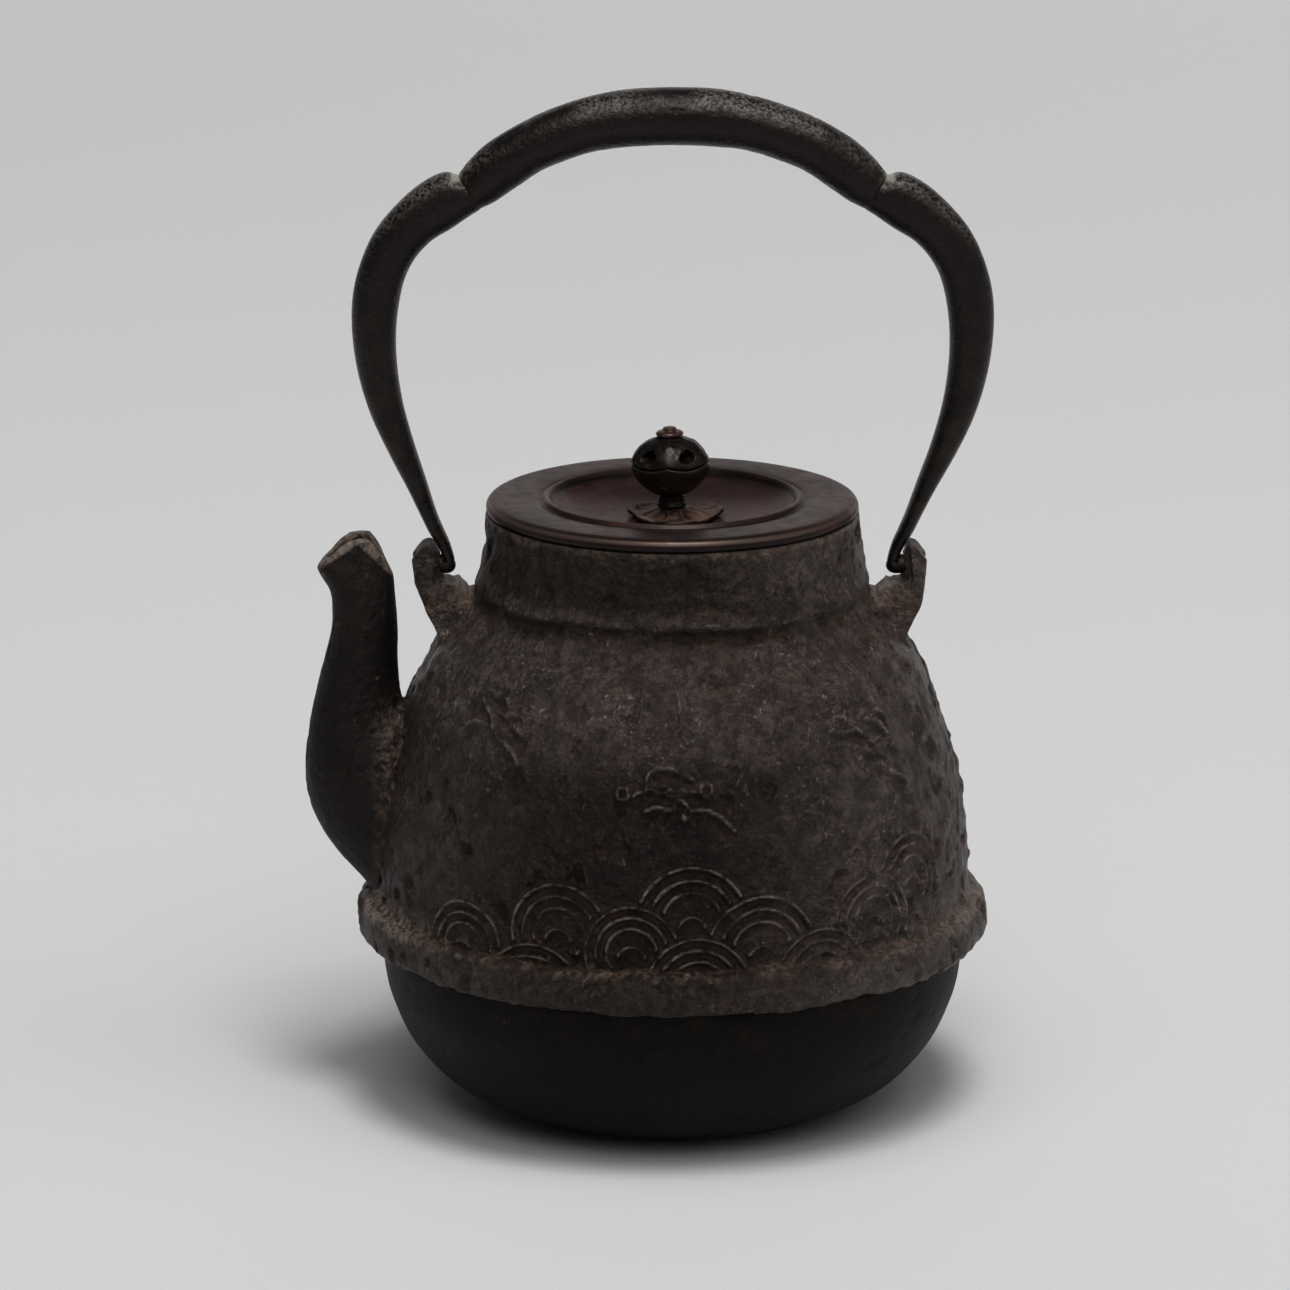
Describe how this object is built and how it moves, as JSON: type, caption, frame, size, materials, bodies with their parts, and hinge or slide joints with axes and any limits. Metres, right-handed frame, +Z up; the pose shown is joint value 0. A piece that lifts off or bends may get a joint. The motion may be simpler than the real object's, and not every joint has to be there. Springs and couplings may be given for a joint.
{
  "type": "cast-iron kettle",
  "caption": "Cast-iron kettle with a smooth fitted bottom, curved pouring spout, swinging arched bail, and a flat lift-off lid with a turning bud knob.",
  "frame": {"origin": "where the kettle's vertical axis meets the surface it stands on", "axes": "+Z up along the kettle's axis; the spout points along -X; the bail's pivot line runs along X through both lugs"},
  "size_m": [0.1846, 0.17, 0.278],
  "materials": {
    "rough_iron": "rough pitted casting with rust flecks",
    "bowl_iron": "smooth blackened casting",
    "spout_iron": "blackened casting with a worn lip",
    "wrought_iron": "blackened wrought iron with a satin sheen",
    "lid_bronze": "dark reddish-brown patina, satin",
    "seat_copper": "worn coppery patina",
    "knob_bronze": "dark bronze, worn bright on the ribs",
    "finial_copper": "reddish-brown patina"
  },
  "bodies": {
    "kettle": {"upper_body": "rough_iron", "base_bowl": "bowl_iron", "spout": "spout_iron", "lug_spout_side": "rough_iron", "lug_far_side": "rough_iron"},
    "bail": {"bail_grip": "wrought_iron", "bail_arm_spout_side": "wrought_iron", "bail_arm_far_side": "wrought_iron"},
    "lid": {"lid_plate": "lid_bronze", "lid_collar": "lid_bronze", "knob_seat": "seat_copper", "knob_washer": "seat_copper"},
    "knob": {"knob_pin": "knob_bronze", "knob_cup": "knob_bronze", "knob_tent": "knob_bronze", "knob_finial": "finial_copper"}
  },
  "joints": [
    {"name": "bail_swing", "type": "hinge", "parent": "kettle", "child": "bail", "pos_m": [0, 0, 0.1485], "axis": [1, 0, 0], "range_deg": [-90, 90]},
    {"name": "lid_lift", "type": "slide", "parent": "kettle", "child": "lid", "axis": [0, 0, 1], "range_m": [0, 0.06]},
    {"name": "knob_spin", "type": "hinge", "parent": "lid", "child": "knob", "pos_m": [0, 0, 0.17], "axis": [0, 0, 1], "continuous": true}
  ]
}
